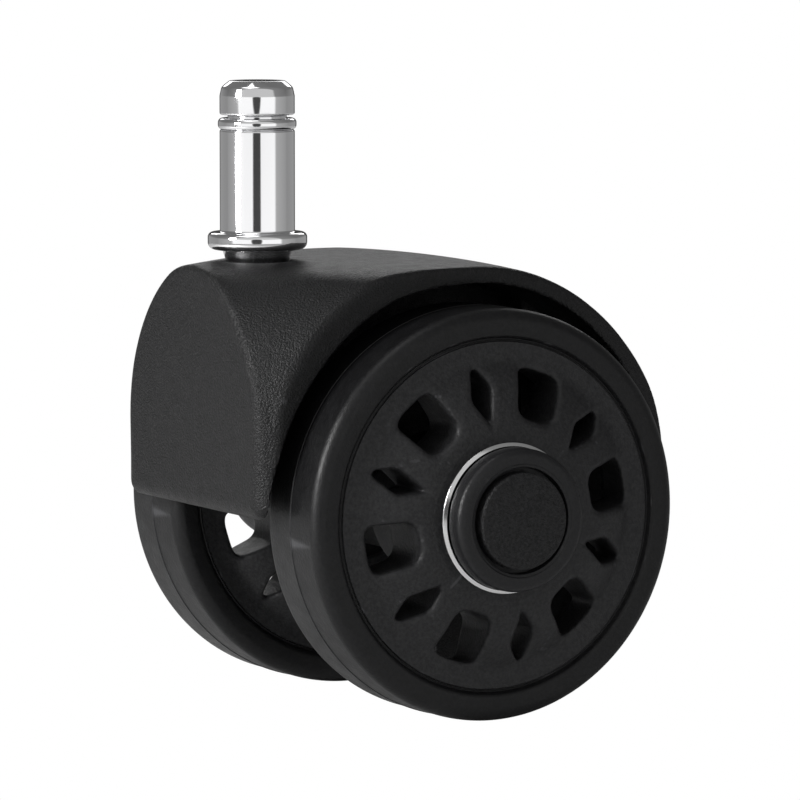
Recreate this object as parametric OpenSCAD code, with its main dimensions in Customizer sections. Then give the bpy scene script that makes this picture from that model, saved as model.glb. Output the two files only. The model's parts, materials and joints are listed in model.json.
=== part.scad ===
// Twin-wheel chair caster with a push-fit stem, in millimetres.
// The origin is on the stem axis at the top face of the stem's flange, where the
// chair leg rests. +X runs from the stem towards the axle and +Z is up. "Left" is
// the -Y side. The hood is symmetric about the XZ plane. Both wheels are the same
// moulding turned the same way, so the domed face of both discs looks to the left.

/* [Stem] */
// Radius of the stem body that fits the chair leg's socket
stem_r = 5.5; // [5:0.05:5.6]
// Height of the stem above its flange
stem_h = 22; // [21:0.5:26]
// Radius of the flange that carries the chair leg
flange_r = 7.25; // [6.8:0.05:8.5]
// Radius of the lower shank that turns inside the sleeve
shank_r = 4.2; // [3.8:0.05:4.3]

/* [Wheels] */
// Radius of the tyre at its tread
wheel_r = 30; // [29.8:0.1:30.5]
// Width of one tyre
tyre_w = 15.2; // [14.8:0.1:15.6]
// Distance between the centre planes of the two tyres
track = 43.8; // [43.4:0.1:44.6]
// Angle of the left wheel's first large hole above the X axis
left_phase = 10.7; // [0:0.1:59]
// Angle of the right wheel's first large hole above the X axis
right_phase = 17.7; // [0:0.1:59]

/* [Hood] */
// How far the axle trails behind the stem axis
trail = 23.5; // [23:0.1:24.5]
// How far the axle lies below the flange face
axle_drop = 40; // [39.8:0.1:41]
// Distance from the stem axis to the hood's flat front
hood_front = 11; // [10.8:0.1:12]
// Width of the hood over its two side rims
hood_w = 45; // [44.6:0.1:46]
// Thickness of the hood's wall
hood_wall = 3.2; // [2.6:0.1:3.4]

/* [Axle] */
// Radius of the axle pin
axle_r = 4; // [3.6:0.05:4.2]
// Radial clearance between parts that turn on each other
running_gap = 0.05; // [0.02:0.01:0.08]

/* [Hidden] */
$fn = 96;
LEFT = -1;
RIGHT = 1;

// Stem, heights along Z
tip_r = 4.2;
tip_h = 1.9;
flange_t = 2.55;
cone_top_r = 5.1;
cone_foot_r = 4.6;
cone_foot_z = -4.4;
step_r = 4.8;
step_foot_z = -5.3;
groove_low_z = 14.9;
groove_top_z = 17.05;
groove_r = 4.3;
grip_ring_r = stem_r + 0.25;
grip_ring_t = 1.7;
grip_ring_gap = 1.2;
snap_top_z = -30;
snap_t = 1.2;
snap_groove_r = 3.4;
snap_r = 4.9;
snap_gap = 2.4;
shank_foot_z = -33.4;

// Stem socket in the hood
socket_r = 5.26;
sleeve_top_z = -5.6;
sleeve_foot_z = -29.7;
pad_top_z = -33.6;
pad_foot_z = -35.6;
boss_r = 9.5;
boss_foot_z = -38;

// Hood outline
arch_gap = 3;
well_r = wheel_r + arch_gap;
crown_r = well_r + hood_wall;
rear_reach = 35.1;
rear_taper = 0.08;
ridge_top_z = -4.85;
crown_top_z = crown_r - axle_drop;
shoulder_angle = 39.4;
ridge_half_w = 20.4;
ridge_straight_top = 10;
ridge_arc_r = 31.6;
web_half = 1.5;
web_foot_z = -38;
axle_boss_r = 8;
axle_boss_half = 10;
keel_r = 26.4;
keel_front = trail + 5.5;
cross_rib_t = 2.2;
cross_rib_half = 9;
far = 90;
cut = 1;

// Wheel, distances outwards from the middle plane and radii about the axle
tyre_mid = track / 2;
tyre_in = tyre_mid - tyre_w / 2;
tyre_out = tyre_mid + tyre_w / 2;
shoulder_r = 4.6;
rim_r = 25.2;
rim_lip = 0.85;
rim_in = tyre_in + rim_lip;
rim_out = tyre_out - rim_lip;
key_r = 24;
key_half = 3;
dish_r = 22.5;
web_back = 22.5;
bowl_r = 22.1;
bowl_draft = 0.4;
bowl_round = 2.5;
collar_out = 32.4;
hub_r = 11;
hub_in = 2 * tyre_mid - collar_out;
bush_r = 5.2;
bush_flange_r = 6.4;
bush_flange_t = 1;
bush_in = hub_in - 0.3;
bush_out = 31.6;
pocket_in = 31.4;
pocket_r = 8.8;
washer_bore_r = axle_r + 0.1;
inner_washer_t = 0.8;
outer_washer_in = 31.9;
outer_washer_t = 0.7;
retainer_t = 0.6;
axle_half = 33.7;

// Hub ring, cap and plug
ring_r = 10.75;
ring_wall = 0.35;
ring_in = 30.9;
ring_out = 34.5;
seat_out = 33.3;
cap_r = 10.35;
cap_out = 36.4;
cap_floor_in = 34.2;
cap_floor_t = 0.7;
groove_out_r = 7.68;
plug_r = 7;
plug_out = 37.1;
plug_peg_r = 2.5;

// Holes through the wheel's web
hole_mid_r = 18.1;
hole_count = 6;
hole_step = 360 / hole_count;

// An arc of steps + 1 points that rounds corner b between a and c to radius r
function corner_arc(a, b, c, r, steps) =
    r == 0 ? [b] :
    let (
        u = (a - b) / norm(a - b),
        v = (c - b) / norm(c - b),
        half = acos(u * v) / 2,
        centre = b + (u + v) / norm(u + v) * r / sin(half),
        start = b + u * r / tan(half) - centre,
        end = b + v * r / tan(half) - centre,
        first = atan2(start.y, start.x),
        turn = (atan2(end.y, end.x) - first + 540) % 360 - 180
    )
    [for (i = [0 : steps]) centre + r * [cos(first + turn * i / steps), sin(first + turn * i / steps)]];

// Points of a polygon whose corners are given as [x, y, rounding radius]
function rounded(corners, steps = 6) =
    let (n = len(corners), at = [for (c = corners) [c.x, c.y]])
    [for (i = [0 : n - 1])
        each corner_arc(at[(i + n - 1) % n], at[i], at[(i + 1) % n], corners[i].z, steps)];

// Points along an arc about a centre, from one angle to another
function arc(centre, r, from, to, steps = 12) =
    [for (i = [0 : steps]) let (t = from + (to - from) * i / steps) centre + r * [cos(t), sin(t)]];

// The same wheel outline turned over about the tyre's centre plane
function turned(points) =
    [for (i = [len(points) - 1 : -1 : 0]) [points[i].x, 2 * tyre_mid - points[i].y]];

// A ring or disc about Z between two heights
module ring(outer, inner, low, high) {
    translate([0, 0, low]) difference() {
        cylinder(r = outer, h = high - low);
        if (inner > 0) translate([0, 0, -cut]) cylinder(r = inner, h = high - low + 2 * cut);
    }
}

// A ring with a gap cut through one side
module split_ring(outer, inner, low, high, gap) {
    difference() {
        ring(outer, inner, low, high);
        translate([0, -gap / 2, low - cut]) cube([2 * outer, gap, high - low + 2 * cut]);
    }
}

// Puts a shape that points along +Z on the axle, pointing out of one side
module on_axle(side) {
    translate([trail, 0, -axle_drop]) rotate([-90 * side, 0, 0]) mirror([0, side > 0 ? 1 : 0, 0]) children();
}

module stem() {
    color("silver") rotate_extrude() polygon(rounded([
        [0, stem_h, 0], [tip_r, stem_h, 0.6], [stem_r, stem_h - tip_h, 1.6],
        [stem_r, groove_top_z, 0.3], [groove_r, groove_top_z, 0],
        [groove_r, groove_low_z, 0], [stem_r, groove_low_z, 0],
        [stem_r, 0, 0], [flange_r, 0, 0.6], [flange_r, -flange_t, 0.9],
        [cone_top_r, -flange_t, 0], [cone_foot_r, cone_foot_z, 0], [step_r, cone_foot_z, 0],
        [step_r, step_foot_z, 0], [shank_r, step_foot_z, 0],
        [shank_r, snap_top_z, 0], [snap_groove_r, snap_top_z, 0],
        [snap_groove_r, snap_top_z - snap_t, 0], [shank_r, snap_top_z - snap_t, 0],
        [shank_r, shank_foot_z, 1.2], [0, shank_foot_z, 0]
    ]));
}

module grip_ring() {
    color("gainsboro")
        split_ring(grip_ring_r, groove_r, groove_low_z, groove_low_z + grip_ring_t, grip_ring_gap);
}

module stem_snap_ring() {
    color("dimgray") split_ring(snap_r, snap_groove_r, snap_top_z - snap_t, snap_top_z, snap_gap);
}

module swivel_sleeve() {
    color("darkgray") ring(socket_r, shank_r + running_gap, sleeve_foot_z, sleeve_top_z);
}

module thrust_pad() {
    color("ivory") ring(socket_r, 0, pad_foot_z, pad_top_z);
}

// A flat shape in the XZ plane given thickness between two distances along Y
module across(low, high) {
    translate([0, high, 0]) rotate([90, 0, 0]) linear_extrude(height = high - low) children();
}

// Side outline of the hood in the XZ plane, drawn inwards by inset
module side_outline(inset) {
    intersection() {
        translate([-hood_front + inset, -axle_drop])
            square([hood_front + trail + rear_reach - 2 * inset, far]);
        union() {
            translate([trail, -axle_drop]) circle(r = crown_r - inset, $fn = 180);
            polygon([
                [-hood_front, -axle_drop], [-hood_front, ridge_top_z - inset],
                [trail, crown_top_z - inset], [trail, -axle_drop]
            ]);
        }
    }
}

// The space on the inner side of the +Y shoulder, whose straight lines run back
// from the front ridge at shoulder_angle and whose section across them is an arch
module shoulder_space(inset) {
    ridge = ridge_half_w * cos(shoulder_angle) - inset;
    arc_r = ridge_arc_r - inset;
    straight_top = ridge_straight_top - axle_drop;
    translate([-hood_front, 0, 0]) rotate([90, 0, 90 + shoulder_angle])
        translate([0, 0, -far]) linear_extrude(height = 2 * far) union() {
            translate([-far, -far]) square([far + ridge, far + straight_top]);
            translate([-far, straight_top - cut]) square([far + ridge - arc_r, arc_r + cut]);
            intersection() {
                translate([ridge - arc_r, straight_top]) circle(r = arc_r, $fn = 180);
                translate([ridge - arc_r - cut, straight_top - cut]) square(far);
            }
        }
}

// The hood's form between its two shoulders, drawn inwards by inset
module hood_form(inset, half_w) {
    intersection() {
        across(-half_w, half_w) side_outline(inset);
        shoulder_space(inset);
        mirror([0, 1, 0]) shoulder_space(inset);
    }
}

// The two flat rims around the wheel wells, cut off by the hood's front plane
module side_rims() {
    rim_depth = 2.2;
    for (low = [-hood_w / 2, hood_w / 2 - rim_depth])
        across(low, low + rim_depth) intersection() {
            side_outline(0);
            translate([trail, -axle_drop]) circle(r = crown_r, $fn = 180);
        }
}

// The hood's plan outline, whose sides draw together behind the axle
module plan_outline() {
    half_w = hood_w / 2;
    rear_half = half_w - rear_taper * far;
    translate([0, 0, -far]) linear_extrude(height = 2 * far) polygon([
        [-far, -half_w], [trail, -half_w], [trail + far, -rear_half],
        [trail + far, rear_half], [trail, half_w], [-far, half_w]
    ]);
}

// The room under the hood that both wheels turn in
module wheel_wells() {
    hood_form(hood_wall, hood_w / 2 + cut);
    on_axle(LEFT) ring(well_r, 0, -hood_w / 2 - cut, hood_w / 2 + cut);
}

// The middle web that ties the crown, the stem boss and the axle boss together
module middle_web() {
    intersection() {
        hood_form(cut, web_half);
        translate([-far, -far, web_foot_z]) cube([2 * far, 2 * far, far]);
    }
    gusset_half = 14;
    across(-web_half, web_half) polygon([
        [trail - gusset_half, web_foot_z], [trail + gusset_half, web_foot_z],
        [trail + axle_boss_r / 2, -axle_drop - axle_boss_r / 2],
        [trail - axle_boss_r / 2, -axle_drop - axle_boss_r / 2]
    ]);
}

// The rounded keel behind the axle boss that divides the two wheels
module keel() {
    across(-web_half, web_half) intersection() {
        translate([trail, -axle_drop]) circle(r = keel_r, $fn = 180);
        translate([keel_front, web_foot_z - far]) square(far);
    }
}

// A rib across the web, from the underside of the crown down to the web's foot
module cross_rib(x) {
    intersection() {
        hood_form(cut, cross_rib_half);
        translate([x - cross_rib_t / 2, -far, web_foot_z]) cube([cross_rib_t, 2 * far, far]);
    }
}

module housing() {
    rib_behind_axle = 17;
    color("dimgray") difference() {
        union() {
            difference() {
                intersection() {
                    union() {
                        hood_form(0, hood_w / 2);
                        side_rims();
                    }
                    plan_outline();
                }
                wheel_wells();
            }
            middle_web();
            keel();
            cross_rib(trail + rib_behind_axle);
            cross_rib(0);
            ring(boss_r, 0, boss_foot_z, ridge_top_z - hood_wall / 2);
            on_axle(LEFT) ring(axle_boss_r, 0, -axle_boss_half, axle_boss_half);
        }
        ring(socket_r, 0, pad_foot_z, cut);
        on_axle(LEFT) ring(axle_r, 0, -axle_boss_half - cut, axle_boss_half + cut);
    }
}

module axle() {
    nose = 0.6;
    color("silver") on_axle(LEFT) rotate_extrude() polygon([
        [0, -axle_half], [axle_r - nose, -axle_half], [axle_r, -axle_half + nose],
        [axle_r, axle_half - nose], [axle_r - nose, axle_half], [0, axle_half]
    ]);
}

module tyre(side) {
    flank = 0.5;
    color("black") on_axle(side) rotate_extrude($fn = 180) polygon(rounded([
        [rim_r, rim_in, 0], [rim_r + flank, tyre_in, 0.8],
        [wheel_r, tyre_in, shoulder_r], [wheel_r, tyre_out, shoulder_r],
        [rim_r + flank, tyre_out, 0.8], [rim_r, rim_out, 0],
        [rim_r, tyre_mid + key_half, 0], [key_r, tyre_mid + key_half, 0],
        [key_r, tyre_mid - key_half, 0], [rim_r, tyre_mid - key_half, 0]
    ], 8));
}

// Outline of a large hole, wide at the rim and narrow at the hub
module window_outline() {
    half_l = 3.7;
    low = hole_mid_r - half_l;
    high = hole_mid_r + half_l;
    half_in = 2.9;
    half_out = 3.6;
    round_in = 1.9;
    round_out = 1.4;
    polygon(rounded([
        [low, -half_in, round_in], [high, -half_out, round_out],
        [high, half_out, round_out], [low, half_in, round_in]
    ], 4));
}

module diamond_outline() {
    half_w = 1.85;
    half_l = 4;
    skew = 0.6;
    polygon(rounded([
        [hole_mid_r - half_l, 0, 0.7], [hole_mid_r + skew, -half_w, 0.8],
        [hole_mid_r + half_l, 0, 0.7], [hole_mid_r - skew, half_w, 0.8]
    ], 4));
}

// Six large holes with six slim ones between them, for cutting the web
module web_holes(phase) {
    for (k = [0 : hole_count - 1]) {
        rotate(phase + hole_step * k) linear_extrude(height = far) window_outline();
        rotate(phase + hole_step * (k + 0.5)) linear_extrude(height = far) diamond_outline();
    }
}

module wheel_core(side, phase) {
    dome_run = dish_r - hub_r;
    dome_rise = collar_out - rim_out;
    dome_r = (dome_run * dome_run + dome_rise * dome_rise) / (2 * dome_rise);
    dome_centre = [hub_r, collar_out - dome_r];
    dome = arc(dome_centre, dome_r, atan2(rim_out - dome_centre.y, dome_run), 90);
    bowl = concat(
        [[hub_r, web_back]],
        corner_arc([hub_r, web_back], [bowl_r, web_back], [bowl_r + bowl_draft, rim_in], bowl_round, 6),
        [[bowl_r + bowl_draft, rim_in]]
    );
    color("#1c1c1e") on_axle(side) difference() {
        rotate_extrude($fn = 180) polygon(concat(
            [[rim_r, rim_in], [rim_r, tyre_mid - key_half], [key_r, tyre_mid - key_half],
             [key_r, tyre_mid + key_half], [rim_r, tyre_mid + key_half], [rim_r, rim_out]],
            side == LEFT ? dome : turned(bowl),
            [[hub_r, collar_out], [ring_r, collar_out], [ring_r, ring_in],
             [ring_r - ring_wall, ring_in], [ring_r - ring_wall, seat_out],
             [pocket_r, seat_out], [pocket_r, pocket_in],
             [bush_r, pocket_in], [bush_r, bush_in + bush_flange_t],
             [bush_flange_r, bush_in + bush_flange_t], [bush_flange_r, hub_in], [hub_r, hub_in]],
            side == LEFT ? bowl : turned(dome)
        ));
        web_holes(phase);
    }
}

module hub_ring(side) {
    color("silver") on_axle(side) ring(ring_r, ring_r - ring_wall, ring_in, ring_out);
}

module wheel_bush(side) {
    color("ivory") on_axle(side) difference() {
        union() {
            ring(bush_flange_r, 0, bush_in, bush_in + bush_flange_t);
            ring(bush_r, 0, bush_in, bush_out);
        }
        ring(axle_r + running_gap, 0, bush_in - cut, bush_out + cut);
    }
}

module inner_washer(side) {
    color("silver") on_axle(side)
        ring(bush_flange_r, washer_bore_r, axle_boss_half, axle_boss_half + inner_washer_t);
}

module outer_washer(side) {
    color("silver") on_axle(side)
        ring(bush_flange_r, washer_bore_r, outer_washer_in, outer_washer_in + outer_washer_t);
}

module axle_retainer(side) {
    retainer_in = outer_washer_in + outer_washer_t;
    retainer_r = 5.9;
    notch_w = 1;
    color("slategray") on_axle(side) difference() {
        ring(retainer_r, axle_r, retainer_in, retainer_in + retainer_t);
        for (k = [0 : 3]) rotate(90 * k) translate([0, -notch_w / 2, retainer_in - cut])
            cube([axle_r + notch_w, notch_w, retainer_t + 2 * cut]);
    }
}

module hub_cap(side) {
    skirt_in = 32.9;
    skirt_wall = 1.2;
    cap_edge = 1;
    dish = 0.25;
    dish_outer_r = 8.2;
    color("#202022") on_axle(side) rotate_extrude() polygon(rounded([
        [plug_peg_r, cap_floor_in, 0], [pocket_r - skirt_wall, cap_floor_in, 0],
        [pocket_r - skirt_wall, skirt_in, 0], [pocket_r, skirt_in, 0],
        [pocket_r, seat_out, 0], [cap_r, seat_out, 0], [cap_r, cap_out, cap_edge],
        [dish_outer_r, cap_out, 0], [groove_out_r, cap_out - dish, 0],
        [groove_out_r, cap_floor_in + cap_floor_t, 0],
        [plug_peg_r, cap_floor_in + cap_floor_t, 0]
    ]));
}

module cap_plug(side) {
    peg_in = 34;
    color("#19191b") on_axle(side) rotate_extrude() polygon(rounded([
        [0, peg_in, 0], [plug_peg_r, peg_in, 0], [plug_peg_r, cap_floor_in + cap_floor_t, 0],
        [plug_r, cap_floor_in + cap_floor_t, 0], [plug_r, plug_out, 0.4], [0, plug_out, 0]
    ]));
}

stem();
grip_ring();
stem_snap_ring();
swivel_sleeve();
thrust_pad();
housing();
axle();
tyre(LEFT);  // tyre_left
wheel_core(LEFT, left_phase);  // wheel_core_left
hub_ring(LEFT);  // hub_ring_left
wheel_bush(LEFT);  // wheel_bush_left
inner_washer(LEFT);  // inner_washer_left
outer_washer(LEFT);  // outer_washer_left
axle_retainer(LEFT);  // axle_retainer_left
hub_cap(LEFT);  // hub_cap_left
cap_plug(LEFT);  // cap_plug_left
tyre(RIGHT);  // tyre_right
wheel_core(RIGHT, right_phase);  // wheel_core_right
hub_ring(RIGHT);  // hub_ring_right
wheel_bush(RIGHT);  // wheel_bush_right
inner_washer(RIGHT);  // inner_washer_right
outer_washer(RIGHT);  // outer_washer_right
axle_retainer(RIGHT);  // axle_retainer_right
hub_cap(RIGHT);  // hub_cap_right
cap_plug(RIGHT);  // cap_plug_right
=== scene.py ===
"""Looks of a twin-wheel chair caster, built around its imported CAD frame."""

import json
import math

import bmesh
import bpy
import numpy as np
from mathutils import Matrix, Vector


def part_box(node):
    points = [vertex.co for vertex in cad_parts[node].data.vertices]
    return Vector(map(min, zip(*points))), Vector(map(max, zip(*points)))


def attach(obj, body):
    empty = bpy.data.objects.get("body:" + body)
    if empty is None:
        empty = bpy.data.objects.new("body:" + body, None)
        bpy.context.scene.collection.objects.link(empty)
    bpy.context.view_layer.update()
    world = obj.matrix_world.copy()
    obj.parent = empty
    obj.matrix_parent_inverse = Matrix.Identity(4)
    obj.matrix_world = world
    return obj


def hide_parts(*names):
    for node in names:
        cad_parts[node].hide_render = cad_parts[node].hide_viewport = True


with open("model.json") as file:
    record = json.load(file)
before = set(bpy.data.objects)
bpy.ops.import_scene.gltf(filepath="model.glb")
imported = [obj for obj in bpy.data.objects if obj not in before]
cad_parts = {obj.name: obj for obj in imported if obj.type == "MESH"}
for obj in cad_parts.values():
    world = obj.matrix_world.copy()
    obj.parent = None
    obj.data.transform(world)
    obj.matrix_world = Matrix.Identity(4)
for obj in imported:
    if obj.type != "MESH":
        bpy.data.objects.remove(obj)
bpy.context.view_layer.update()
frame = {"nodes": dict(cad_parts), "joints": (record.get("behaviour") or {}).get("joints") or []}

MM = 0.001
LEFT, RIGHT = -1, 1
SIDES = {"left": LEFT, "right": RIGHT}

# ---- Sizes taken from the frame, in millimetres ----


def box_mm(node):
    low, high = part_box(node)
    return np.array(low) / MM, np.array(high) / MM


def joint_place(name):
    return next(j for j in frame["joints"] if j["name"] == name)["pos_m"]


AXLE_X = joint_place("left_roll")[0] / MM
AXLE_Z = joint_place("left_roll")[2] / MM
TYRE_MID = abs(joint_place("left_roll")[1]) / MM
TYRE_LOW, TYRE_HIGH = box_mm("tyre_right")
WHEEL_R = (TYRE_HIGH[2] - TYRE_LOW[2]) / 2
TYRE_IN, TYRE_OUT = TYRE_LOW[1], TYRE_HIGH[1]
HOOD_LOW, HOOD_HIGH = box_mm("housing")
HOOD_FRONT = HOOD_LOW[0]
HOOD_HALF = HOOD_HIGH[1]
STEM_TOP = box_mm("stem")[1][2]
PLUG_OUT = box_mm("cap_plug_right")[1][1]
CAP_OUT = box_mm("hub_cap_right")[1][1]
CAP_R = (box_mm("hub_cap_right")[1][0] - box_mm("hub_cap_right")[0][0]) / 2
RING_IN = box_mm("hub_ring_right")[0][1]
RING_R = (box_mm("hub_ring_right")[1][0] - box_mm("hub_ring_right")[0][0]) / 2
CORE_LOW, CORE_HIGH = box_mm("wheel_core_left")
RIM_R = (CORE_HIGH[0] - CORE_LOW[0]) / 2


# ---- Mesh helpers ----


def new_object(name, vertices, faces, body, node, material, sharp_angle=40):
    """A smooth-shaded mesh object, from vertices in millimetres, that stands for one CAD node."""
    mesh = bpy.data.meshes.new(name)
    mesh.from_pydata((np.asarray(vertices) * MM).tolist(), [], faces)
    mesh.validate()
    weld = bmesh.new()
    weld.from_mesh(mesh)
    bmesh.ops.remove_doubles(weld, verts=weld.verts, dist=0.001 * MM)
    bmesh.ops.recalc_face_normals(weld, faces=weld.faces)
    weld.to_mesh(mesh)
    weld.free()
    mesh.polygons.foreach_set("use_smooth", [True] * len(mesh.polygons))
    if sharp_angle:
        mesh.set_sharp_from_angle(angle=math.radians(sharp_angle))
    mesh.update()
    obj = bpy.data.objects.new(name, mesh)
    bpy.context.scene.collection.objects.link(obj)
    obj.data.materials.append(material)
    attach(obj, body)
    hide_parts(node)
    return obj


def rounded(corners, steps=5):
    """Points of an open outline whose corners are (across, along, rounding radius)."""
    points = []
    last = len(corners) - 1
    for i, (x, y, radius) in enumerate(corners):
        here = np.array([x, y], float)
        if radius == 0 or i in (0, last):
            points.append(here)
            continue
        before = np.array(corners[i - 1][:2]) - here
        after = np.array(corners[i + 1][:2]) - here
        u, v = before / np.linalg.norm(before), after / np.linalg.norm(after)
        half = math.acos(np.clip(u @ v, -1, 1)) / 2
        reach = min(radius / math.tan(half), 0.49 * np.linalg.norm(before), 0.49 * np.linalg.norm(after))
        centre = here + (u + v) / np.linalg.norm(u + v) * reach / math.cos(half)
        start, end = here + u * reach - centre, here + v * reach - centre
        first = math.atan2(start[1], start[0])
        turn = (math.atan2(end[1], end[0]) - first + 3 * math.pi) % (2 * math.pi) - math.pi
        size = np.linalg.norm(start)
        for k in range(steps + 1):
            angle = first + turn * k / steps
            points.append(centre + size * np.array([math.cos(angle), math.sin(angle)]))
    return points


def lathe(outline, segments=192, gap=0.0):
    """Vertices and faces of an outline of (radius, height) points turned about Z.

    Points at radius 0 close the ends. A gap, in degrees, leaves the turn open there and caps both ends.
    """
    vertices, rows = [], []
    turn = math.radians(360 - gap)
    count = segments + (1 if gap else 0)
    for radius, height in outline:
        if radius < 1e-9:
            rows.append([len(vertices)])
            vertices.append((0.0, 0.0, height))
            continue
        rows.append(list(range(len(vertices), len(vertices) + count)))
        for k in range(count):
            angle = math.radians(gap / 2) + turn * k / segments
            vertices.append((radius * math.cos(angle), radius * math.sin(angle), height))
    faces = []
    closed = not gap
    pairs = list(zip(rows, rows[1:]))
    if gap:
        pairs.append((rows[-1], rows[0]))
    for low, high in pairs:
        for k in range(segments):
            n = (k + 1) % count if closed else k + 1
            if len(low) == 1:
                faces.append((low[0], high[n], high[k]))
            elif len(high) == 1:
                faces.append((low[k], low[n], high[0]))
            else:
                faces.append((low[k], low[n], high[n], high[k]))
    if gap:
        faces.append([row[0] for row in rows])
        faces.append([row[-1] for row in reversed(rows)])
    return np.array(vertices), faces


def turn_about_z(vertices, angle):
    c, s = math.cos(angle), math.sin(angle)
    return vertices @ np.array([[c, s, 0], [-s, c, 0], [0, 0, 1]])


def on_axle(vertices, side):
    """Places a shape turned about Z on the axle, with +Z pointing out of one side."""
    v = np.asarray(vertices)
    return np.stack([v[:, 0] + AXLE_X, side * v[:, 2], v[:, 1] + AXLE_Z], axis=1)


def smooth_max(a, b, k):
    h = np.maximum(k - np.abs(a - b), 0) / k
    return np.maximum(a, b) + h * h * k / 4


def smooth_min(a, b, k):
    return -smooth_max(-a, -b, k)


def surface_net(field, axes, place=None):
    """Quads along the zero level of field(x, y, z), which is below 0 inside, on the grid of the three axes.

    place turns grid coordinates into millimetres. The net's points are then moved onto the level itself.
    """
    grid = np.meshgrid(*axes, indexing="ij")
    to_space = place or (lambda a, b, c: (a, b, c))
    values = field(*to_space(*grid))
    inside = values < 0
    cells = tuple(n - 1 for n in values.shape)
    total = np.zeros(cells + (3,))
    count = np.zeros(cells)
    corner = [slice(0, -1), slice(1, None)]
    for axis in range(3):
        others = [a for a in range(3) if a != axis]
        for i in (0, 1):
            for j in (0, 1):
                low, high = [None] * 3, [None] * 3
                low[axis], high[axis] = corner[0], corner[1]
                low[others[0]] = high[others[0]] = corner[i]
                low[others[1]] = high[others[1]] = corner[j]
                a, b = values[tuple(low)], values[tuple(high)]
                crosses = (a < 0) != (b < 0)
                t = np.where(crosses, a / np.where(crosses, a - b, 1), 0)
                for m in range(3):
                    start = grid[m][tuple(low)]
                    end = grid[m][tuple(high)]
                    total[..., m] += np.where(crosses, start + t * (end - start), 0)
                count += crosses
    used = count > 0
    index = -np.ones(cells, int)
    index[used] = np.arange(used.sum())
    points = total[used] / count[used][:, None]
    quads = []
    for axis in range(3):
        u, v = [(1, 2), (2, 0), (0, 1)][axis]
        low, high = [slice(None)] * 3, [slice(None)] * 3
        low[axis], high[axis] = slice(0, -1), slice(1, None)
        a, b = inside[tuple(low)], inside[tuple(high)]
        for found, flip in ((a & ~b, False), (~a & b, True)):
            at = np.argwhere(found)
            keep = (at[:, u] > 0) & (at[:, v] > 0) & (at[:, u] < cells[u]) & (at[:, v] < cells[v])
            at = at[keep]
            ring = []
            for du, dv in ((1, 1), (0, 1), (0, 0), (1, 0)):
                q = at.copy()
                q[:, u] -= du
                q[:, v] -= dv
                ring.append(index[q[:, 0], q[:, 1], q[:, 2]])
            quad = np.stack(ring if not flip else ring[::-1], axis=1)
            quads.append(quad[(quad >= 0).all(axis=1)])
    quads = np.concatenate(quads)
    space = np.stack(to_space(points[:, 0], points[:, 1], points[:, 2]), axis=1)
    return settle(field, space), quads


def settle(field, points, rounds=4, step=0.01, reach=0.12):
    """Moves points onto the zero level of a field, along its slope."""
    for _ in range(rounds):
        value = field(*points.T)
        slope = np.stack([
            (field(*(points + step * axis).T) - field(*(points - step * axis).T)) / (2 * step)
            for axis in np.eye(3)
        ], axis=1)
        size = np.maximum((slope ** 2).sum(axis=1), 0.05)
        move = slope * (-value / size)[:, None]
        length = np.maximum(np.linalg.norm(move, axis=1), 1e-9)
        points = points + move * np.minimum(1, reach / length)[:, None]
    return points


# ---- Materials ----


def material_nodes(name):
    material = bpy.data.materials.new(name)
    material.use_nodes = True
    nodes, links = material.node_tree.nodes, material.node_tree.links
    return material, nodes, links, nodes["Principled BSDF"]


def noise(nodes, links, coords, scale, detail=3.0, roughness=0.5):
    node = nodes.new("ShaderNodeTexNoise")
    node.inputs["Scale"].default_value = scale
    node.inputs["Detail"].default_value = detail
    node.inputs["Roughness"].default_value = roughness
    links.new(coords, node.inputs["Vector"])
    return node.outputs["Fac"]


def spread(nodes, links, value, low, high, to_low, to_high):
    node = nodes.new("ShaderNodeMapRange")
    node.inputs["From Min"].default_value = low
    node.inputs["From Max"].default_value = high
    node.inputs["To Min"].default_value = to_low
    node.inputs["To Max"].default_value = to_high
    links.new(value, node.inputs["Value"])
    return node.outputs["Result"]


def bump(nodes, links, height, strength, distance, after=None):
    node = nodes.new("ShaderNodeBump")
    node.inputs["Strength"].default_value = strength
    node.inputs["Distance"].default_value = distance
    links.new(height, node.inputs["Height"])
    if after:
        links.new(after, node.inputs["Normal"])
    return node.outputs["Normal"]


def mix_colour(nodes, links, factor, one, other):
    node = nodes.new("ShaderNodeMix")
    node.data_type = "RGBA"
    node.inputs["A"].default_value = (*one, 1)
    node.inputs["B"].default_value = (*other, 1)
    links.new(factor, node.inputs["Factor"])
    return node.outputs["Result"]


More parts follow.
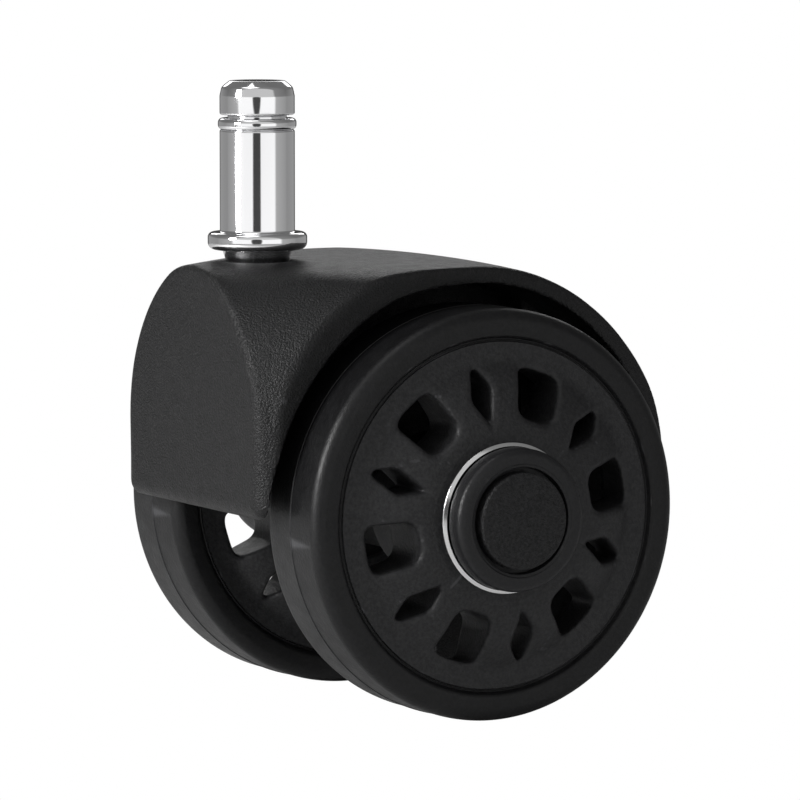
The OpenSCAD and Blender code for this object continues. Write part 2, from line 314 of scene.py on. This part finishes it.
def moulded(name, dark, light, rough, grain_mm, grain_depth_mm, waves_mm=6.0, wave_depth_mm=0.01,
            specular=0.32, worn=(0.08, 0.08, 0.085)):
    """Moulded plastic or rubber: fine grain, slow waves, uneven gloss and slightly worn edges."""
    material, nodes, links, shader = material_nodes(name)
    coords = nodes.new("ShaderNodeTexCoord").outputs["Object"]
    grain = noise(nodes, links, coords, 1 / (grain_mm * MM), 2.0, 0.6)
    waves = noise(nodes, links, coords, 1 / (waves_mm * MM), 3.0, 0.5)
    fine = noise(nodes, links, coords, 1 / (grain_mm * 1.4 * MM), 3.0, 0.6)
    tint = mix_colour(nodes, links, spread(nodes, links, fine, 0.35, 0.65, 0, 1), dark, light)
    edge = nodes.new("ShaderNodeNewGeometry").outputs["Pointiness"]
    rubbed = nodes.new("ShaderNodeMath")
    rubbed.operation = "MULTIPLY"
    links.new(spread(nodes, links, edge, 0.56, 0.66, 0, 1), rubbed.inputs[0])
    links.new(spread(nodes, links, waves, 0.4, 0.6, 0.1, 0.6), rubbed.inputs[1])
    wear = nodes.new("ShaderNodeMix")
    wear.data_type = "RGBA"
    wear.inputs["B"].default_value = (*worn, 1)
    links.new(rubbed.outputs["Value"], wear.inputs["Factor"])
    links.new(tint, wear.inputs["A"])
    links.new(wear.outputs["Result"], shader.inputs["Base Color"])
    gloss = noise(nodes, links, coords, 1 / (waves_mm * 0.35 * MM), 4.0, 0.6)
    links.new(spread(nodes, links, gloss, 0.3, 0.7, rough - 0.05, rough + 0.06), shader.inputs["Roughness"])
    slow = bump(nodes, links, waves, 1.0, wave_depth_mm * MM)
    links.new(bump(nodes, links, grain, 1.0, grain_depth_mm * MM, slow), shader.inputs["Normal"])
    shader.inputs["Specular IOR Level"].default_value = specular
    return material


def metal(name, colour, rough, streak_mm=(0.12, 0.12, 4.0), streak_depth_mm=0.0006, variation=0.03):
    """Polished or drawn metal: fine streaks, uneven gloss and a faint change of tone."""
    material, nodes, links, shader = material_nodes(name)
    coords = nodes.new("ShaderNodeTexCoord").outputs["Object"]
    stretch = nodes.new("ShaderNodeMapping")
    stretch.inputs["Scale"].default_value = [1 / (s * MM) for s in streak_mm]
    links.new(coords, stretch.inputs["Vector"])
    streaks = noise(nodes, links, stretch.outputs["Vector"], 1.0, 3.0, 0.6)
    clouds = noise(nodes, links, coords, 1 / (3.5 * MM), 4.0, 0.6)
    dull = tuple(c * (1 - variation) for c in colour)
    links.new(mix_colour(nodes, links, clouds, dull, colour), shader.inputs["Base Color"])
    links.new(spread(nodes, links, clouds, 0.3, 0.7, rough, rough + 0.04), shader.inputs["Roughness"])
    links.new(bump(nodes, links, streaks, 1.0, streak_depth_mm * MM), shader.inputs["Normal"])
    shader.inputs["Metallic"].default_value = 1.0
    return material


HOOD = moulded("hood_plastic", (0.002, 0.002, 0.0022), (0.009, 0.009, 0.0095), 0.4, 0.3, 0.2)
TYRE = moulded("tyre_rubber", (0.004, 0.004, 0.0045), (0.008, 0.008, 0.0085), 0.4, 0.4, 0.05, 8.0, 0.03)
WHEEL = moulded("wheel_plastic", (0.012, 0.012, 0.013), (0.026, 0.026, 0.027), 0.42, 0.36, 0.08, 5.0, 0.03)
CAP = moulded("cap_plastic", (0.011, 0.011, 0.012), (0.016, 0.016, 0.017), 0.36, 0.4, 0.07)
PLUG = moulded("plug_plastic", (0.003, 0.003, 0.0035), (0.02, 0.02, 0.021), 0.48, 0.3, 0.24)
NYLON = moulded("bush_plastic", (0.62, 0.6, 0.52), (0.74, 0.72, 0.64), 0.45, 0.3, 0.006,
                worn=(0.8, 0.79, 0.74))
CHROME = metal("chrome", (0.96, 0.96, 0.97), 0.05)
BRIGHT = metal("ring_metal", (0.9, 0.9, 0.9), 0.12, (0.1, 1.2, 0.1))
STEEL = metal("plain_steel", (0.56, 0.56, 0.58), 0.28, (0.08, 2.0, 0.08), 0.002, 0.12)
SPRING = metal("spring_steel", (0.2, 0.2, 0.22), 0.35, (0.2, 0.2, 0.2), 0.002, 0.2)


# ---- Stem ----

GRIP_STANDS_OUT = 0.25
STEM_R = box_mm("grip_ring")[1][0] - GRIP_STANDS_OUT
FLANGE_R = box_mm("stem")[1][0]


def build_stem():
    """The stem, whose outline runs from its head down past the neck, flange, collar and snap groove."""
    tip_r, neck_r, collar_r, shank_r, groove_r = 4.05, 4.3, 4.8, 4.2, 3.4
    neck_low, neck_high = 14.9, 17.05
    flange_low, cone_low, collar_high, collar_low = -2.55, -4.2, -4.4, -5.3
    groove_high, groove_low, end = -30.0, -31.2, -33.4
    cone_r, waist_r = 5.1, 4.62
    outline = rounded([
        (0, STEM_TOP, 0), (tip_r, STEM_TOP, 0.5), (5.2, STEM_TOP - 0.95, 0.9), (STEM_R, STEM_TOP - 2.2, 0.9),
        (STEM_R, neck_high, 0.35), (neck_r, neck_high - 0.05, 0.2), (neck_r, neck_low, 0.2),
        (STEM_R, neck_low, 0.3), (STEM_R, 0.0, 0.35), (FLANGE_R, 0.0, 0.75), (FLANGE_R, flange_low, 1.1),
        (cone_r, flange_low, 0.15), (waist_r, cone_low, 0.1), (waist_r, collar_high, 0.05),
        (collar_r, collar_high, 0.1), (collar_r, collar_low, 0.1), (shank_r, collar_low, 0.05),
        (shank_r, groove_high, 0.1), (groove_r, groove_high, 0.05), (groove_r, groove_low, 0.05),
        (shank_r, groove_low, 0.1), (shank_r, end, 1.2), (0, end, 0)
    ], 6)
    vertices, faces = lathe(outline[::-1])
    return new_object("stem_body", vertices, faces, "stem", "stem", CHROME, 50)


def build_grip_ring():
    low, high = box_mm("grip_ring")
    outer, inner = STEM_R + GRIP_STANDS_OUT, 4.32
    bottom, top = low[2], high[2]
    outline = rounded([
        (inner, bottom, 0), (outer, bottom, 0.8), (outer, top, 0.8), (inner, top, 0)
    ], 8)
    vertices, faces = lathe(outline, gap=12)
    return new_object("grip_ring_band", vertices, faces, "stem", "grip_ring", CHROME, 60)


# ---- Hood ----

HOOD_WALL = 3.2
WELL_R = WHEEL_R + 3.0
CROWN_R = WELL_R + HOOD_WALL
REAR_X = AXLE_X + 35.08
REAR_TAPER = 0.08
KEEL_R = 26.4
KEEL_FRONT = AXLE_X + 5.5
SHOULDER_SLOPE = 0.82
SHOULDER_COS = 1 / math.hypot(1, SHOULDER_SLOPE)
RIDGE_HALF = 20.4
RIDGE_ARC_R = 25.9
RIDGE_STRAIGHT_TOP = -28.8
RING_SINK = 0.45
WEB_HALF = 1.5
WEB_FOOT = -38
RIB_FROM, RIB_TO, RIB_HALF = 15.9, 18.1, 9
SOCKET_R = 9.5
BOSS_R, BOSS_HALF = 8, 10
STEM_HOLE_R, STEM_HOLE_FOOT = 5.26, -35.6
AXLE_HOLE_R = 4


def shoulder_field(x, y, z):
    """Distance outside the two shoulders, whose straight lines run back from an arched front."""
    run = np.clip(x - HOOD_FRONT, 0, None)
    across = np.abs(y) - SHOULDER_SLOPE * (x - HOOD_FRONT)
    level = z - 0.55 * np.clip(run / (AXLE_X - HOOD_FRONT), 0, 1)
    beside = np.maximum(across - (RIDGE_HALF - RIDGE_ARC_R), 0)
    above = np.maximum(level - RIDGE_STRAIGHT_TOP, 0)
    return np.where(above > 0, np.hypot(beside, above) - RIDGE_ARC_R, across - RIDGE_HALF) * SHOULDER_COS


def crown_field(x, y, z):
    crown = CROWN_R - 0.08 - 0.6 * (np.abs(y) / HOOD_HALF) ** 2
    behind = np.hypot(x - AXLE_X, z - AXLE_Z) - crown
    ahead = z - AXLE_Z - crown
    return np.where((x > AXLE_X) | (z < AXLE_Z), behind, ahead)


def side_field(x, y):
    """Distance outside the hood's sides, which draw together behind the axle."""
    run = x - AXLE_X
    return np.abs(y) - HOOD_HALF + REAR_TAPER * (run + np.hypot(run, 3)) / 2


def hood_outside(x, y, z):
    """Distance outside the hood: shoulders, crown, rear cut, sides, flat front and lower lip."""
    radius = np.hypot(x - AXLE_X, z - AXLE_Z)
    ring = smooth_max(radius - (CROWN_R - RING_SINK), HOOD_FRONT + 2.8 - x, 1.0)
    body = smooth_min(shoulder_field(x, y, z), ring, 1.0)
    body = smooth_max(body, crown_field(x, y, z), 2.4)
    body = smooth_max(body, x - REAR_X, 4.0)
    front = HOOD_FRONT - x
    ridge = 1.3 - 0.6 * np.clip((z + 34) / 14, 0, 1)
    body = smooth_max(body, side_field(x, y), 0.7)
    body = smooth_max(body, front, ridge)
    bottom = AXLE_Z - z
    lip = 2.5 - 1.7 * np.clip((x - HOOD_FRONT - 3) / 3, 0, 1)
    return smooth_max(body, bottom, lip)


def hood_room(x, y, z):
    """Distance outside the hollow under the hood."""
    inner = smooth_max(shoulder_field(x, y, z), crown_field(x, y, z), 2.0)
    inner = smooth_max(inner, HOOD_FRONT - x, 1.5) + HOOD_WALL
    return smooth_min(np.hypot(x - AXLE_X, z - AXLE_Z) - WELL_R, inner, 1.0)


def slab(value, low, high):
    return np.maximum(low - value, value - high)


def hood_field(x, y, z):
    """Distance outside the hood's plastic: its shell, and the web, rib, socket, boss and keel inside."""
    outside = hood_outside(x, y, z)
    shell = smooth_max(outside, -hood_room(x, y, z), 0.45)
    within = outside + 1.2
    below = WEB_FOOT - z
    web = smooth_max(np.maximum(np.abs(y) - WEB_HALF, within), below, 0.6)
    rib = np.maximum(slab(x, AXLE_X + RIB_FROM, AXLE_X + RIB_TO), np.abs(y) - RIB_HALF)
    rib = smooth_max(np.maximum(rib, within), below, 0.6)
    socket = smooth_max(np.maximum(np.hypot(x, y) - SOCKET_R, within), below, 0.8)
    gusset = np.maximum(np.abs(y) - WEB_HALF, np.abs(x - AXLE_X) + 1.4 * below - 14)
    gusset = np.maximum(gusset, slab(z, WEB_FOOT - 6, WEB_FOOT + 1))
    boss = smooth_max(np.hypot(x - AXLE_X, z - AXLE_Z) - BOSS_R, np.abs(y) - BOSS_HALF, 0.8)
    inside = smooth_min(smooth_min(web, gusset, 0.4), smooth_min(socket, rib, 0.8), 1.2)
    inside = smooth_min(inside, boss, 1.2)
    keel = smooth_max(np.hypot(x - AXLE_X, z - AXLE_Z) - KEEL_R, KEEL_FRONT - x, 1.6)
    keel = smooth_max(np.maximum(keel, z - AXLE_Z), np.abs(y) - WEB_HALF, 0.5)
    inside = smooth_min(inside, keel, 0.8)
    solid = smooth_min(shell, inside, 1.0)
    hole = np.maximum(np.hypot(x, y) - STEM_HOLE_R, STEM_HOLE_FOOT - z)
    bore = np.hypot(x - AXLE_X, z - AXLE_Z) - AXLE_HOLE_R
    solid = smooth_max(solid, -hole, 0.5)
    return smooth_max(solid, -bore, 0.4)


def build_hood():
    step = 0.42
    margin = 1.3
    half_y = np.arange(step / 2, HOOD_HALF + margin, step)
    axes = [
        np.arange(HOOD_FRONT - margin, REAR_X + margin, step),
        np.concatenate([-half_y[::-1], half_y]),
        np.arange(AXLE_Z - KEEL_R - margin, HOOD_HIGH[2] + margin, step),
    ]
    vertices, quads = surface_net(hood_field, axes)
    return new_object("hood_shell", vertices, quads.tolist(), "housing", "housing", HOOD, 50)


# ---- Wheels ----

RIM_LIP = 0.85
RIM_OUT = TYRE_OUT - RIM_LIP
RIM_IN = TYRE_IN + RIM_LIP
DISH_R = 22.5
HUB_R = 11.0
COLLAR_OUT = 32.4
WEB_BACK = 22.5
BOWL_R = 22.1
BOWL_DRAFT = 0.05
BORE_R = 5.2
FLAT_OVERLAP = 4
HOLE_MID = 18.1
HOLE_COUNT = 6
PHASE = {"left": 10.7, "right": 17.7}


def convex_field(u, v, corners, soft):
    """Distance outside a convex outline whose corners go anticlockwise, with rounded corners."""
    total = None
    for (x0, y0), (x1, y1) in zip(corners, corners[1:] + corners[:1]):
        length = math.hypot(x1 - x0, y1 - y0)
        away = ((u - x0) * (y1 - y0) - (v - y0) * (x1 - x0)) / length
        total = away if total is None else smooth_max(total, away, soft)
    return total


WINDOW_HALF_L, WINDOW_IN_HALF, WINDOW_OUT_HALF = 3.7, 2.95, 3.65
WINDOW = [
    (HOLE_MID - WINDOW_HALF_L, -WINDOW_IN_HALF), (HOLE_MID + WINDOW_HALF_L, -WINDOW_OUT_HALF),
    (HOLE_MID + WINDOW_HALF_L, WINDOW_OUT_HALF), (HOLE_MID - WINDOW_HALF_L, WINDOW_IN_HALF)
]
DIAMOND_HALF_L, DIAMOND_HALF_W, DIAMOND_SKEW, DIAMOND_TIP = 4.2, 1.88, 0.6, 0.1
DIAMOND = [
    (HOLE_MID - DIAMOND_HALF_L, DIAMOND_TIP), (HOLE_MID + DIAMOND_SKEW, -DIAMOND_HALF_W),
    (HOLE_MID + DIAMOND_HALF_L, -DIAMOND_TIP), (HOLE_MID - DIAMOND_SKEW, DIAMOND_HALF_W)
]


def holes_field(radius, angle):
    """Distance outside the holes at a radius and an angle from the first large hole, in radians."""
    step = 2 * math.pi / HOLE_COUNT
    big = (angle + step / 2) % step - step / 2
    slim = angle % step - step / 2
    window = convex_field(radius * np.cos(big), radius * np.sin(big), WINDOW, 2.2)
    diamond = convex_field(radius * np.cos(slim), radius * np.sin(slim), DIAMOND, 0.8)
    return np.minimum(window, diamond)


def core_field(x, y, z):
    """Distance outside the disc of a wheel whose domed face looks along +Z, hub and rim included."""
    radius = np.hypot(x, y)
    angle = np.arctan2(y, x)
    run, rise = DISH_R - HUB_R, COLLAR_OUT - RIM_OUT
    dome_r = (run * run + rise * rise) / (2 * rise)
    dome = np.hypot(np.maximum(radius - HUB_R, 0), np.maximum(z - COLLAR_OUT + dome_r, 0)) - dome_r
    face = smooth_min(dome, np.maximum(z - RIM_OUT, DISH_R - FLAT_OVERLAP - radius), 0.5)
    web = smooth_max(face, WEB_BACK - z, 0.5)
    web = smooth_max(web, -holes_field(radius, angle), 1.1)
    wall = np.maximum(radius - RIM_R, slab(z, RIM_IN, RIM_OUT))
    wall = smooth_max(wall, BOWL_R + BOWL_DRAFT * (WEB_BACK - z) - radius, 0.4)
    hub = np.maximum(radius - HUB_R, slab(z, 2 * TYRE_MID - COLLAR_OUT, COLLAR_OUT))
    solid = smooth_min(smooth_min(web, wall, 0.9), hub, 1.6)
    solid = np.maximum(solid, z - COLLAR_OUT)
    solid = np.maximum(solid, radius - RIM_R)
    bore = BORE_R - radius
    groove = -np.maximum(radius - RING_R, RING_IN - z)
    return smooth_max(np.maximum(solid, bore), groove, 0.2)


def build_core():
    """The disc with its holes: one sixth of it is made on a grid of turns and then repeated."""
    turn_steps = 96
    fine = 0.22
    sector = 2 * math.pi / HOLE_COUNT
    turns = np.linspace(-sector / 4, sector * 3 / 4, turn_steps + 1)
    pad = turns[1] - turns[0]
    turns = np.concatenate([[turns[0] - pad], turns])
    margin = 0.6
    radii = np.arange(BORE_R - margin, RIM_R + margin, fine)
    heights = np.arange(2 * TYRE_MID - COLLAR_OUT - margin, COLLAR_OUT + margin, fine)

    def place(turn, radius, height):
        return radius * np.cos(turn), radius * np.sin(turn), height

    vertices, quads = surface_net(core_field, [turns, radii, heights], place)
    turned = [turn_about_z(vertices, k * sector) for k in range(HOLE_COUNT)]
    repeated = [quads + k * len(vertices) for k in range(HOLE_COUNT)]
    return np.concatenate(turned), np.concatenate(repeated)


CORE_MESH = build_core()


def build_wheel_core(name):
    side = SIDES[name]
    vertices, quads = CORE_MESH
    vertices = turn_about_z(vertices, math.radians(PHASE[name]))
    if side == RIGHT:
        vertices = vertices * [1, 1, -1] + [0, 0, 2 * TYRE_MID]
    return new_object("wheel_disc_" + name, on_axle(vertices, side), quads.tolist(), name + "_wheel",
                      "wheel_core_" + name, WHEEL, 50)


def build_tyre(name):
    """A tyre: its outline runs round the section, with a flash at the rim and a parting line on the tread."""
    side = SIDES[name]
    seam, flank, shoulder, flash = RIM_R, 0.35, 4.6, 0.12
    bed = seam - 0.02
    tongue_r, tongue_half = 24.0, 3
    line_half, line_h = 0.16, 0.1
    outline = rounded([
        (tongue_r, TYRE_MID - tongue_half, 0), (bed, TYRE_MID - tongue_half, 0), (bed, RIM_IN + 0.35, 0.0),
        (bed, RIM_IN - 0.02, 0.05), (seam + flash, RIM_IN - 0.1, 0.06), (seam + flank, RIM_IN + 0.05, 0.1),
        (seam + flank + 0.5, TYRE_IN, 0.7), (WHEEL_R - line_h, TYRE_IN, shoulder),
        (WHEEL_R - line_h, TYRE_MID - line_half, 0.05), (WHEEL_R, TYRE_MID - line_half / 2, 0.05),
        (WHEEL_R, TYRE_MID + line_half / 2, 0.05), (WHEEL_R - line_h, TYRE_MID + line_half, 0.05),
        (WHEEL_R - line_h, TYRE_OUT, shoulder), (seam + flank + 0.5, TYRE_OUT, 0.7),
        (seam + flank, RIM_OUT - 0.05, 0.1), (seam + flash, RIM_OUT + 0.1, 0.06),
        (bed, RIM_OUT + 0.02, 0.05), (bed, RIM_OUT - 0.35, 0.0), (bed, TYRE_MID + tongue_half, 0),
        (tongue_r, TYRE_MID + tongue_half, 0), (tongue_r, TYRE_MID - tongue_half, 0)
    ], 10)
    vertices, faces = lathe(outline, 256)
    return new_object("tyre_body_" + name, on_axle(vertices, side), faces,
                      name + "_wheel", "tyre_" + name, TYRE, 35)


def build_hub_ring(name):
    """The bright ring: a band let into the disc, with a flared lip that covers the top of the collar."""
    side = SIDES[name]
    inner = RING_R - 0.35
    seat = COLLAR_OUT + 0.02
    outline = rounded([
        (inner, RING_IN, 0), (RING_R, RING_IN, 0.05), (RING_R, seat, 0.0), (HUB_R - 0.02, seat, 0.05),
        (HUB_R - 0.1, COLLAR_OUT + 0.2, 0.15), (inner + 0.02, COLLAR_OUT + 0.5, 0.1),
        (inner, COLLAR_OUT + 0.45, 0), (inner, RING_IN, 0)
    ], 6)
    vertices, faces = lathe(outline)
    return new_object("hub_band_" + name, on_axle(vertices, side), faces, name + "_wheel",
                      "hub_ring_" + name, BRIGHT)


def build_hub_cap(name):
    """The cap: a skirt that enters the hub, a rounded rim, and a floor with a hole for the plug's peg."""
    side = SIDES[name]
    peg_r, floor_in, floor_out, pocket_r = 2.5, 34.2, 34.9, 7.68
    skirt_in, skirt_r, skirt_bore_r = 32.9, 8.78, 7.6
    outline = rounded([
        (peg_r, floor_in, 0), (skirt_bore_r, floor_in, 0.2), (skirt_bore_r, skirt_in, 0.1),
        (skirt_r, skirt_in, 0.2), (skirt_r, 33.3, 0.05), (CAP_R, 33.35, 0.1), (CAP_R, CAP_OUT, 1.05),
        (8.25, CAP_OUT, 0.25), (8.1, CAP_OUT - 0.12, 0.15), (pocket_r, CAP_OUT - 0.2, 0.15),
        (pocket_r, floor_out, 0.1), (peg_r, floor_out, 0), (peg_r, floor_in, 0)
    ], 6)
    vertices, faces = lathe(outline)
    return new_object("hub_cover_" + name, on_axle(vertices, side), faces, name + "_wheel",
                      "hub_cap_" + name, CAP)


def build_plug(name):
    """The plug: a short peg behind a round plate, whose face is very slightly crowned."""
    side = SIDES[name]
    peg_r, peg_in, plate_in, plate_r = 2.48, 34.0, 34.92, 7.0
    outline = rounded([
        (0, peg_in, 0), (peg_r, peg_in, 0.2), (peg_r, plate_in, 0.1), (plate_r, plate_in, 0.1),
        (plate_r, PLUG_OUT - 0.03, 0.4), (5.5, PLUG_OUT - 0.02, 0), (3.6, PLUG_OUT - 0.01, 0),
        (1.8, PLUG_OUT, 0), (0.5, PLUG_OUT, 0), (0, PLUG_OUT, 0)
    ], 5)
    vertices, faces = lathe(outline)
    return new_object("hub_plug_" + name, on_axle(vertices, side), faces, name + "_wheel",
                      "cap_plug_" + name, PLUG)


build_stem()
build_grip_ring()
build_hood()
for wheel in SIDES:
    build_wheel_core(wheel)
    build_tyre(wheel)
    build_hub_ring(wheel)
    build_hub_cap(wheel)
    build_plug(wheel)

# ---- CAD nodes that stay, with their materials ----

KEPT = {
    "stem_snap_ring": SPRING, "swivel_sleeve": STEEL, "thrust_pad": NYLON, "axle": STEEL,
    "wheel_bush_left": NYLON, "wheel_bush_right": NYLON,
    "inner_washer_left": STEEL, "inner_washer_right": STEEL,
    "outer_washer_left": STEEL, "outer_washer_right": STEEL,
    "axle_retainer_left": SPRING, "axle_retainer_right": SPRING,
}
for node, material in KEPT.items():
    obj = frame["nodes"][node]
    obj.data.materials.clear()
    obj.data.materials.append(material)

# ---- Studio ----

VIEW_AZIMUTH = -29.19
PANELS = [(0, 0.06), (11, 0.06), (14, 1.0), (56, 1.0), (62, 0.4), (98, 0.3), (104, 0.26), (152, 0.3),
          (160, 0.06)]
CEILING = 0.55


def white_to_camera(nodes, links, shader, output):
    """Shows pure white to the camera and leaves the shader to light the scene."""
    seen = nodes.new("ShaderNodeLightPath").outputs["Is Camera Ray"]
    white = nodes.new("ShaderNodeEmission")
    mix = nodes.new("ShaderNodeMixShader")
    links.new(seen, mix.inputs["Fac"])
    links.new(shader, mix.inputs[1])
    links.new(white.outputs["Emission"], mix.inputs[2])
    links.new(mix.outputs["Shader"], output.inputs["Surface"])


def build_floor():
    bpy.ops.mesh.primitive_circle_add(vertices=96, radius=0.5, fill_type="NGON",
                                      location=(0.02, 0, TYRE_LOW[2] * MM - 0.0002))
    floor = bpy.context.object
    floor.name = "studio_floor"
    material, nodes, links, shader = material_nodes("studio_white")
    shader.inputs["Base Color"].default_value = (0.8, 0.8, 0.8, 1)
    shader.inputs["Roughness"].default_value = 0.9
    white_to_camera(nodes, links, shader.outputs["BSDF"], nodes["Material Output"])
    floor.data.materials.append(material)


def area_light(name, place, size, power, target=(0.02, 0, -0.03), colour=(1, 1, 1)):
    data = bpy.data.lights.new(name, "AREA")
    data.shape = "RECTANGLE"
    data.size, data.size_y = size
    data.energy = power
    data.color = colour
    light = bpy.data.objects.new(name, data)
    light.location = place
    light.rotation_euler = (Vector(target) - Vector(place)).to_track_quat("-Z", "Y").to_euler()
    bpy.context.scene.collection.objects.link(light)


def build_world():
    """A studio: white panels on both sides of the viewpoint, grey walls beside and behind, a dim ceiling."""
    world = bpy.data.worlds.new("studio")
    bpy.context.scene.world = world
    world.use_nodes = True
    nodes, links = world.node_tree.nodes, world.node_tree.links
    back = nodes["Background"]
    way = nodes.new("ShaderNodeTexCoord").outputs["Generated"]
    front = math.radians(VIEW_AZIMUTH)
    towards = nodes.new("ShaderNodeVectorMath")
    towards.operation = "DOT_PRODUCT"
    towards.inputs[1].default_value = (math.sin(front), -math.cos(front), 0)
    links.new(way, towards.inputs[0])
    turn = nodes.new("ShaderNodeMath")
    turn.operation = "ARCCOSINE"
    links.new(towards.outputs["Value"], turn.inputs[0])
    ramp = nodes.new("ShaderNodeValToRGB")
    ramp.color_ramp.elements.remove(ramp.color_ramp.elements[1])
    for i, (degrees, level) in enumerate(PANELS):
        stop = ramp.color_ramp.elements[0] if i == 0 else ramp.color_ramp.elements.new(degrees / 180)
        stop.position = degrees / 180
        stop.color = (level, level, level, 1)
    links.new(spread(nodes, links, turn.outputs["Value"], 0, math.pi, 0, 1), ramp.inputs["Fac"])
    height = nodes.new("ShaderNodeSeparateXYZ")
    links.new(way, height.inputs["Vector"])
    links.new(ramp.outputs["Color"], back.inputs["Color"])
    links.new(spread(nodes, links, height.outputs["Z"], 0.05, 0.25, 1.0, CEILING), back.inputs["Strength"])
    white_to_camera(nodes, links, back.outputs["Background"], nodes["World Output"])


def studio_light(name, turn, elevation, size, level, distance=0.7):
    """An area light at an angle to the left of the viewpoint, level times as bright as the white backdrop."""
    azimuth, tilt = math.radians(VIEW_AZIMUTH - turn), math.radians(elevation)
    place = (
        distance * math.sin(azimuth) * math.cos(tilt), -distance * math.cos(azimuth) * math.cos(tilt),
        distance * math.sin(tilt)
    )
    area_light(name, place, size, level * math.pi * size[0] * size[1])


def build_camera():
    azimuth, elevation = math.radians(VIEW_AZIMUTH), math.radians(5.675)
    place = Vector((-0.37402, -0.71207, 0.05525))
    back = Vector((
        math.sin(azimuth) * math.cos(elevation), -math.cos(azimuth) * math.cos(elevation), math.sin(elevation)
    ))
    data = bpy.data.cameras.new("camera")
    data.sensor_width = 36
    data.lens = 248.9
    data.clip_start = 0.01
    camera = bpy.data.objects.new("camera", data)
    camera.location = place
    camera.rotation_euler = back.to_track_quat("Z", "Y").to_euler()
    bpy.context.scene.collection.objects.link(camera)
    bpy.context.scene.camera = camera


build_camera()
build_floor()
build_world()
studio_light("key", 60, 16, (0.08, 0.14), 25.0, 0.3)
studio_light("rear_top", 180, 25, (0.6, 0.2), 2.2)
studio_light("overhead", 60, 75, (0.35, 0.35), 1.5)
bpy.context.scene.view_settings.view_transform = "Standard"
